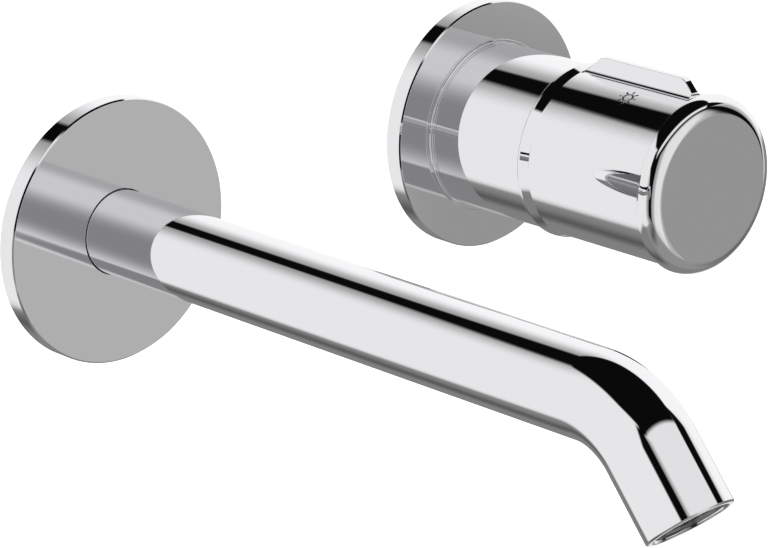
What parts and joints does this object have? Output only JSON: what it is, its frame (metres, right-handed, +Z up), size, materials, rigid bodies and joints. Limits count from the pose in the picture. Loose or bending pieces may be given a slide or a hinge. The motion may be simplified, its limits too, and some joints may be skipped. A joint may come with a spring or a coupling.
{
  "type": "wall-mounted basin tap",
  "caption": "Concealed wall basin tap: a bent tubular spout on a round rosette, and a round control whose knob turns for temperature and whose end cap pushes on and off.",
  "frame": {"origin": "the point where the spout's axis crosses the finished wall face", "axes": "+X along the wall towards the control, +Y into the wall, so the tap stands out towards -Y, +Z up"},
  "size_m": [0.2002, 0.2222, 0.0686],
  "materials": {
    "chrome": "polished",
    "brass": "machined",
    "steel": "plain stainless",
    "black_rubber": "satin",
    "grey_foam": "matte foam",
    "dark_plastic": "matte",
    "white_plastic": "matte",
    "red_plastic": "matte",
    "ceramic": "lapped ceramic",
    "black_enamel": "enamel"
  },
  "bodies": {
    "wall_set": {"spout_rosette": "chrome", "spout_tube": "chrome", "spout_nipple": "brass", "spigot_seals": "black_rubber", "spout_set_screw": "steel", "spout_rosette_ring": "black_rubber", "spout_wall_seal": "grey_foam", "aerator_ring": "chrome", "aerator_grille": "dark_plastic", "flow_regulator": "white_plastic", "aerator_washer": "black_rubber", "control_rosette": "chrome", "control_rosette_ring": "black_rubber", "control_wall_seal": "grey_foam", "control_wall_plate": "steel", "back_nut": "brass", "valve_body": "brass", "shutoff_seat": "brass", "control_sleeve": "chrome", "sleeve_seal": "black_rubber", "retaining_nut": "brass", "cartridge_base": "white_plastic", "cartridge_seals": "black_rubber", "fixed_disc": "ceramic", "cartridge_housing": "white_plastic", "glide_ring": "white_plastic"},
    "knob": {"moving_disc": "ceramic", "disc_carrier": "dark_plastic", "spindle": "brass", "spindle_seals": "black_rubber", "rod_seal": "black_rubber", "temperature_stop": "red_plastic", "knob_adapter": "dark_plastic", "knob_body": "chrome", "grip_fin": "chrome", "knob_set_screw": "steel", "hot_mark": "black_enamel", "cold_mark": "black_enamel", "latch_pin": "steel"},
    "button": {"push_cap": "chrome", "cap_carrier": "dark_plastic", "cap_seal": "black_rubber", "push_rod": "steel", "shutoff_seal": "black_rubber", "return_spring": "steel"}
  },
  "joints": [
    {"name": "knob_turn", "type": "hinge", "parent": "wall_set", "child": "knob", "pos_m": [0.1316, 0, 0], "axis": [0, -1, 0], "range_deg": [-50, 50]},
    {"name": "button_push", "type": "slide", "parent": "knob", "child": "button", "axis": [0, 1, 0], "range_m": [0, 0.002], "stiffness_N_per_m": 1200, "springref_m": -0.004, "deforming": ["return_spring"]}
  ]
}
